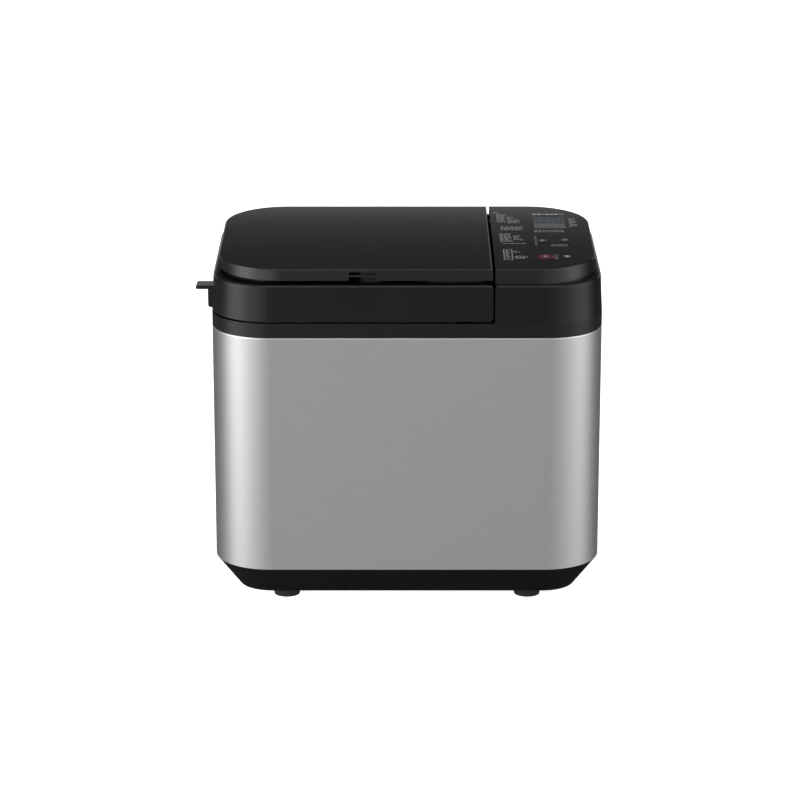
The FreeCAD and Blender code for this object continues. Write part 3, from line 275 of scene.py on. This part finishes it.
def on_top(x, y, height=0.0):
    """A point of the sloping top face, x and y in mm along the face, height in mm."""
    up = TOP + height / 1000
    along = y / 1000
    return Vector((x / 1000, along * math.cos(TILT) - up * math.sin(TILT),
                   SLOPE_Z + along * math.sin(TILT) + up * math.cos(TILT)))


def finish_piece(name, bm, material, body):
    mesh = bpy.data.meshes.new(name)
    bmesh.ops.recalc_face_normals(bm, faces=bm.faces)
    bm.to_mesh(mesh)
    bm.free()
    piece = bpy.data.objects.new(name, mesh)
    bpy.context.scene.collection.objects.link(piece)
    mesh.materials.append(material)
    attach(piece, body)
    return piece


def prism(bm, outline, low, high, place=on_top):
    """A flat shape with straight sides. outline is a list of (x, y) in mm."""
    below = [bm.verts.new(place(x, y, low)) for x, y in outline]
    above = [bm.verts.new(place(x, y, high)) for x, y in outline]
    count = len(outline)
    bm.faces.new(below[::-1])
    bm.faces.new(above)
    for i in range(count):
        j = (i + 1) % count
        bm.faces.new((below[i], below[j], above[j], above[i]))


def pill(x, y, length, width, steps=5):
    """A bar with round ends, from its low left corner."""
    r = width / 2
    points = []
    for cx, start in ((x + length - r, -90), (x + r, 90)):
        for i in range(steps + 1):
            a = math.radians(start + 180 * i / steps)
            points.append((cx + r * math.cos(a), y + r + r * math.sin(a)))
    return points


def disc(x, y, r, steps=24):
    return [(x + r * math.cos(2 * math.pi * i / steps),
             y + r * math.sin(2 * math.pi * i / steps)) for i in range(steps)]


def add_ring(bm, x, y, r_in, r_out, low, high, steps=48, place=on_top):
    loops = [[bm.verts.new(place(*p, h)) for p in disc(x, y, r, steps)]
             for r, h in ((r_in, low), (r_out, low), (r_out, high), (r_in, high))]
    for a, b in zip(loops, loops[1:] + loops[:1]):
        for i in range(steps):
            j = (i + 1) % steps
            bm.faces.new((a[i], a[j], b[j], b[i]))


def lines_of_print(bm, x, y, width, rows, pitch, seed, thick=1.0, raggedness=0.2):
    """Rows of short bars that stand for small print."""
    rng = random.Random(seed)
    for row in range(rows):
        left = x
        end = x + width * rng.uniform(1 - raggedness, 1.0)
        while left < end - 1.0:
            length = min(rng.uniform(2.0, 5.0), end - left)
            if length > 1.0:
                prism(bm, pill(left, y - row * pitch, length, thick), 0.0, INK)
            left += length + 0.55


def make_print():
    bm = bmesh.new()
    for x, y, width, rows, seed, ragged in (
            (98, 92, 6, 2, 1, 0.3), (101, 83, 11, 9, 2, 0.25), (112, 73, 10, 3, 3, 0.5),
            (112, 62, 16, 4, 4, 0.3), (104, 35, 24, 4, 5, 0.1), (102, 9, 14, 9, 6, 0.25),
            (116, 1, 11, 5, 7, 0.5), (104, -27, 26, 1, 8, 0.1), (112, -55, 10, 2, 9, 0.5),
            (115, -73, 14, 3, 10, 0.2)):
        lines_of_print(bm, x, y, width, rows, 3.6, seed, 2.1, ragged)
    for y in (-85, -48):
        prism(bm, pill(104, y, 9.2, 1.2), 0.0, INK)
    for x in (104, 112):
        prism(bm, [(x, -85), (x + 1.2, -85), (x + 1.2, -47), (x, -47)], 0.0, INK)
    lines_of_print(bm, 106, -53, 5.4, 8, 3.8, 11, 2.0)
    lines_of_print(bm, 138, 22, 34, 2, 5, 12, 2.0)
    lines_of_print(bm, 153, -31, 20, 2, 4.5, 13, 1.6)
    lines_of_print(bm, 137, 0, 3, 8, 4.5, 14, 1.4)
    lines_of_print(bm, 154, -68, 5, 4, 4.5, 15, 1.2)
    for i in range(3):
        add_ring(bm, 179 + i * 0.6, 66 - i * 11, 1.9, 3.4, 0.0, INK, 24)
    lines_of_print(bm, 175, 60, 4, 5, 6, 16, 1.6)
    finish_piece("panel_print", bm, print_grey, "machine")

    bm = bmesh.new()
    lines_of_print(bm, 138.5, 83, 34, 1, 5, 17, 4.4, 0.0)
    finish_piece("display_heading", bm, print_light, "machine")


def key_place(spot):
    return lambda x, y, h: on_top(spot[0] + x, spot[1] + y, KEY_STAND + h)


def make_key_marks():
    marks = {
        "up_key": [(-2.6, -1.6), (2.6, -1.6), (0, 2.4)],
        "down_key": [(-2.6, 1.6), (0, -2.4), (2.6, 1.6)],
        "start_key": [(-1.8, -2.6), (2.8, 0), (-1.8, 2.6)],
        "stop_key": [(-2.1, -2.1), (2.1, -2.1), (2.1, 2.1), (-2.1, 2.1)],
    }
    for key, outline in marks.items():
        bm = bmesh.new()
        prism(bm, outline, 0.0, INK, key_place(KEY_SPOTS[key]))
        ink = print_pink if key == "start_key" else print_light
        finish_piece(f"{key}_mark", bm, ink, f"{key}_body")
    bm = bmesh.new()
    add_ring(bm, *KEY_SPOTS["start_key"], 6.0, 7.4, 0.0, 2 * INK)
    finish_piece("start_ring", bm, print_red, "machine")


def digit(bm, x, y, width, height, segments, place):
    """A seven-segment digit, from its low left corner. segments names the lit ones."""
    t = width * 0.16
    half = height / 2
    bars = {"a": (x + t, y + height - t, width - 2 * t, t), "d": (x + t, y, width - 2 * t, t),
            "g": (x + t, y + half - t / 2, width - 2 * t, t)}
    posts = {"b": (x + width - t, y + half), "c": (x + width - t, y), "e": (x, y),
             "f": (x, y + half)}
    for key in segments:
        if key in bars:
            bx, by, bl, bw = bars[key]
            outline = [(bx, by), (bx + bl, by), (bx + bl, by + bw), (bx, by + bw)]
        else:
            bx, by = posts[key]
            outline = [(bx, by + t * 0.6), (bx + t, by + t * 0.6), (bx + t, by + half - t * 0.6),
                       (bx, by + half - t * 0.6)]
        prism(bm, outline, 0.0, 0.12, place)


def make_display():
    def face(x, y, h):
        return on_top(x, y, h - DISPLAY_DEPTH)

    bm = bmesh.new()
    for x in (142, 151.5, 161):
        digit(bm, x, 56, 7.5, 17, "abcdef", face)
    prism(bm, disc(150.5, 60.5, 0.6, 12), 0.0, 0.12, face)
    prism(bm, disc(150.5, 68, 0.6, 12), 0.0, 0.12, face)
    for i in range(4):
        prism(bm, pill(142 + i * 7, 38, 4.5, 2), 0.12, 0.18, face)
    finish_piece("display_digits", bm, printed("display_ink", (0.03, 0.034, 0.037)), "machine")
    bm = bmesh.new()
    prism(bm, [(139.5, 31.5), (171.5, 31.5), (171.5, 53), (139.5, 53)], 0.0, 0.12, face)
    finish_piece("display_field", bm, printed("display_pale", (0.45, 0.455, 0.455)), "machine")


def make_rear_details():
    """Screws and a blank rating plate on the rear panel."""
    low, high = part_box("rear_panel")

    def back(x, z, h):
        return Vector((x / 1000, high.y + h / 1000, z / 1000))

    bm = bmesh.new()
    for x in (-112, 128):
        for z in (54, 272):
            add_ring(bm, x, z, 0.001, 3.4, 0.0, 0.55, 32, back)
            for turn in (0, math.pi / 2):
                c, s = math.cos(turn), math.sin(turn)
                prism(bm, [(x + a * c - b * s, z + a * s + b * c) for a, b in
                           ((-2, -0.35), (2, -0.35), (2, 0.35), (-2, 0.35))], 0.55, 0.6, back)
    finish_piece("rear_screws", bm, bright_steel, "machine")
    bm = bmesh.new()
    prism(bm, pill(28, 140, 74, 34, 8), 0.0, 0.3, back)
    finish_piece("rating_plate", bm, printed("blank_plate", (0.35, 0.35, 0.35), 0.35), "machine")


make_print()
make_key_marks()
make_display()
make_rear_details()


# ---------------------------------------------------------------- stage, light and camera

def make_floor():
    bpy.ops.mesh.primitive_plane_add(size=14, location=(0, 0, 0))
    floor = bpy.context.object
    floor.name = "floor"
    s = Shader("pale_floor")
    s.colours(s.noise(3, 4), (0.88, 0.88, 0.88), (0.90, 0.90, 0.90))
    s.roughen(s.noise(40, 3), 0.75, 0.85)
    s.set(Emission_Color=(1, 1, 1, 1), Emission_Strength=0.88, Specular_IOR_Level=0.1)
    floor.data.materials.append(s.material)
    floor.visible_glossy = False
    floor.visible_shadow = False


# Brightness of the room by elevation, how it changes round the machine, and what the
# sides add by azimuth and by elevation. Azimuth is 0 at the camera, negative to the left.
ROOM = ((-90, 0.12), (-50, 0.20), (-30, 0.33), (-20, 0.36), (-17, 0.325), (-14, 0.24),
        (-11, 0.13), (0, 0.13), (12, 0.15), (30, 0.30), (50, 0.55), (90, 0.45))
ROOM_TURN = ((-180, 0.16), (-150, 0.25), (-125, 0.5), (-100, 0.95), (0, 1.0), (85, 1.0),
             (105, 0.85), (120, 0.5), (150, 0.25), (180, 0.16))
SIDES = ((-180, 0.0), (-112, 0.0), (-100, 0.14), (-90, 0.69), (-79, 1.42), (-64, 1.63),
         (-52, 1.16), (-41, 0.74), (-28, 0.60), (-16, 0.50), (-7, 0.10), (0, 0.0), (6, 0.05),
         (16, 0.14), (26, 0.24), (36, 0.36), (52, 0.52), (66, 0.82), (80, 0.97), (92, 0.62),
         (104, 0.22), (118, 0.0), (180, 0.0))
SIDE_FADE = ((-90, 0.0), (-45, 0.0), (-26, 0.05), (-21, 0.24), (-18.5, 0.54), (-16, 0.92),
             (-14, 1.3), (-8, 1.8), (0, 2.1), (14, 2.3), (35, 1.5), (60, 0.4), (90, 0.1))


def add_softbox(name, place, target, width, height, power, glossy=True):
    light = bpy.data.lights.new(name, "AREA")
    light.shape = "RECTANGLE"
    light.size, light.size_y = width, height
    light.energy = power
    lamp = bpy.data.objects.new(name, light)
    bpy.context.scene.collection.objects.link(lamp)
    lamp.location = place
    lamp.rotation_euler = (Vector(target) - Vector(place)).to_track_quat("-Z", "Y").to_euler()
    lamp.visible_camera = False
    lamp.visible_glossy = glossy
    return lamp


def make_world():
    """A pale studio round the machine: dim in front and behind, bright at both sides."""
    world = bpy.data.worlds.new("studio")
    bpy.context.scene.world = world
    world.use_nodes = True
    tree = world.node_tree
    tree.nodes.clear()

    def add(kind, *inputs, **values):
        node = tree.nodes.new(kind)
        for key, value in values.items():
            setattr(node, key, value)
        for socket, value in zip(node.inputs, inputs):
            if isinstance(value, bpy.types.NodeSocket):
                tree.links.new(value, socket)
            else:
                socket.default_value = value
        return node.outputs[0]

    def levels(angle, stops):
        """A brightness that depends on an angle. stops is a list of (degrees, level)."""
        first, last = stops[0][0], stops[-1][0]
        most = max(level for _, level in stops)
        factor = add("ShaderNodeMapRange", angle, math.radians(first), math.radians(last),
                     0.0, 1.0)
        ramp = tree.nodes.new("ShaderNodeValToRGB")
        while len(ramp.color_ramp.elements) < len(stops):
            ramp.color_ramp.elements.new(0.5)
        for element, (degrees, level) in zip(ramp.color_ramp.elements, stops):
            element.position = (degrees - first) / (last - first)
            element.color = (level / most, level / most, level / most, 1)
        tree.links.new(factor, ramp.inputs["Fac"])
        return add("ShaderNodeMath", ramp.outputs["Color"], most, operation="MULTIPLY")

    direction = tree.nodes.new("ShaderNodeTexCoord").outputs["Generated"]
    split = tree.nodes.new("ShaderNodeSeparateXYZ")
    tree.links.new(direction, split.inputs[0])
    x, y, z = split.outputs
    back = add("ShaderNodeMath", y, -1.0, operation="MULTIPLY")
    azimuth = add("ShaderNodeMath", x, back, operation="ARCTAN2")
    elevation = add("ShaderNodeMath", z, operation="ARCSINE")
    turn = levels(azimuth, ROOM_TURN)
    room = add("ShaderNodeMath", levels(elevation, ROOM), turn, operation="MULTIPLY")
    sides = levels(azimuth, SIDES)
    fade = levels(elevation, SIDE_FADE)
    lit = add("ShaderNodeMath", sides, fade, operation="MULTIPLY")
    total = add("ShaderNodeMath", room, lit, operation="ADD")
    studio = add("ShaderNodeBackground", (1, 1, 1, 1), total)
    backdrop = add("ShaderNodeBackground", (1, 1, 1, 1), 1.0)
    camera_ray = tree.nodes.new("ShaderNodeLightPath").outputs["Is Camera Ray"]
    mix = add("ShaderNodeMixShader", camera_ray, studio, backdrop)
    output = tree.nodes.new("ShaderNodeOutputWorld")
    tree.links.new(mix, output.inputs["Surface"])


def make_camera():
    data = bpy.data.cameras.new("camera")
    data.sensor_width = 36
    data.lens = 133.6
    data.clip_start, data.clip_end = 0.1, 50
    camera = bpy.data.objects.new("camera", data)
    bpy.context.scene.collection.objects.link(camera)
    camera.location = (0.00085, -2.9475, 1.0458)
    camera.rotation_euler = (math.radians(90 - 16.3), 0, 0)
    bpy.context.scene.camera = camera


make_floor()
make_world()
make_camera()
add_softbox("rear_softbox", (0.0, 0.42, 0.375), (0.0, -0.1, 0.36), 1.4, 0.17, 0.42)
add_softbox("left_fill", (-0.45, -0.52, 0.16), (-0.13, -0.12, 0.30), 0.3, 0.3, 5.0, False)
add_softbox("top_softbox", (0.1, -0.5, 2.2), (0, 0, 0.3), 1.4, 1.0, 5)
bpy.context.scene.view_settings.view_transform = "Standard"
